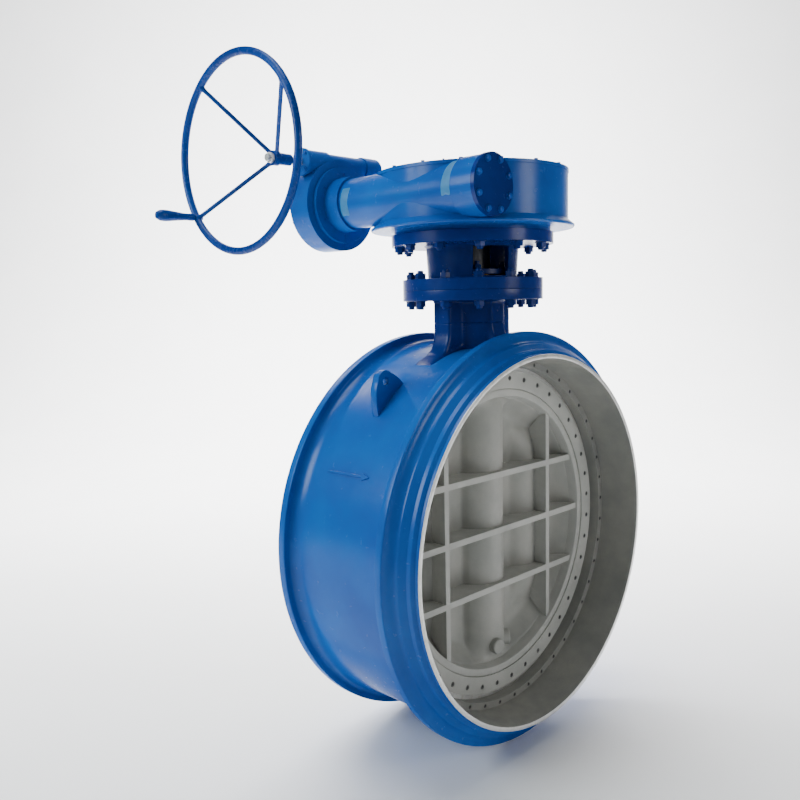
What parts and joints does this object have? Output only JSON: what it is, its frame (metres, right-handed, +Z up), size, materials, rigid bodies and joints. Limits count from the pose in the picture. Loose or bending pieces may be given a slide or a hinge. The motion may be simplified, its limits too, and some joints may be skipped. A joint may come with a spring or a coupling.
{
  "type": "worm gear operated butterfly valve",
  "caption": "Large butt-weld butterfly valve with a ribbed disc in a cast body, a bolted neck and yoke, and a two-stage worm gearbox turned by a spoked handwheel with a crank grip.",
  "frame": {"origin": "centre of the inlet weld face, on the pipe axis", "axes": "+Z up along the stem towards the gearbox, +Y out of the inlet so the flow runs to -Y, +X away from the main worm"},
  "size_m": [1.472, 1.0869, 2.2642],
  "materials": {
    "blue_enamel": "gloss enamel",
    "blue_enamel_deep": "gloss enamel",
    "grey_coat": "satin primer",
    "bronze": "machined",
    "bare_steel": "machined",
    "graphite": "matt",
    "red_enamel": "gloss enamel"
  },
  "bodies": {
    "valve_body": {"body_casting": "blue_enamel", "seat_ring": "bare_steel", "seat_clamp_ring": "grey_coat", "seat_clamp_screws": "bare_steel", "flow_arrow": "blue_enamel", "lower_bush": "bronze", "thrust_disc": "bronze", "bottom_gasket": "graphite", "bottom_cover": "blue_enamel", "bottom_cover_bolts": "bare_steel", "upper_bush": "bronze", "packing_rings": "graphite", "gland_bush": "bronze", "gland_flange": "blue_enamel_deep", "gland_studs": "bronze", "gland_nuts": "bronze", "neck_studs": "bare_steel", "neck_nuts": "blue_enamel_deep", "yoke": "blue_enamel", "yoke_bolts": "blue_enamel_deep", "gear_housing": "blue_enamel", "gear_cover": "blue_enamel", "gear_cover_bolts": "bare_steel", "wheel_bushes": "bronze", "grease_nipples": "bronze", "worm_end_cap": "blue_enamel", "worm_end_cap_bolts": "bare_steel", "worm_bearings": "bare_steel", "input_housing": "blue_enamel", "input_joint_screws": "bare_steel", "input_rear_cover": "blue_enamel", "input_rear_cover_bolts": "bare_steel", "input_end_flange": "blue_enamel", "input_end_flange_bolts": "bare_steel", "input_bearings": "bare_steel"},
    "disc_and_stem": {"disc_casting": "grey_coat", "disc_ribs_upright": "grey_coat", "disc_ribs_level": "grey_coat", "disc_hub": "grey_coat", "disc_pins": "bare_steel", "seal_gasket": "graphite", "seal_pack": "bare_steel", "seal_retainer_ring": "grey_coat", "retainer_screws": "bare_steel", "stem": "bare_steel", "stem_key": "bare_steel", "main_worm_wheel": "bronze", "position_pointer": "red_enamel"},
    "main_worm": {"main_worm_shaft": "bare_steel", "main_worm_thread": "bare_steel", "small_worm_wheel": "bronze", "small_wheel_key": "bare_steel"},
    "input_shaft": {"input_worm_shaft": "bare_steel", "input_worm_thread": "bare_steel", "handwheel": "blue_enamel_deep", "handwheel_key": "bare_steel", "handwheel_nut": "bare_steel", "crank_pin": "bare_steel"},
    "crank_handle": {"crank_grip": "blue_enamel_deep"}
  },
  "joints": [
    {"name": "disc_turn", "type": "hinge", "parent": "valve_body", "child": "disc_and_stem", "pos_m": [0, -0.297, 0], "axis": [0, 0, 1], "range_deg": [0, 90]},
    {"name": "main_worm_turn", "type": "hinge", "parent": "valve_body", "child": "main_worm", "pos_m": [-0.2408, -0.297, 1.1228], "axis": [0, 1, 0], "range_deg": [0, 3600]},
    {"name": "handwheel_turn", "type": "hinge", "parent": "valve_body", "child": "input_shaft", "pos_m": [-0.2408, 0.1324, 1.2639], "axis": [-1, 0, 0], "range_deg": [0, 72000]},
    {"name": "crank_spin", "type": "hinge", "parent": "input_shaft", "child": "crank_handle", "pos_m": [-0.66, 0.37915, 1.08462], "axis": [1, 0, 0], "continuous": true}
  ],
  "couplings": [
    {"joint": "main_worm_turn", "follows": "disc_turn", "ratio": 40},
    {"joint": "handwheel_turn", "follows": "disc_turn", "ratio": 800}
  ]
}
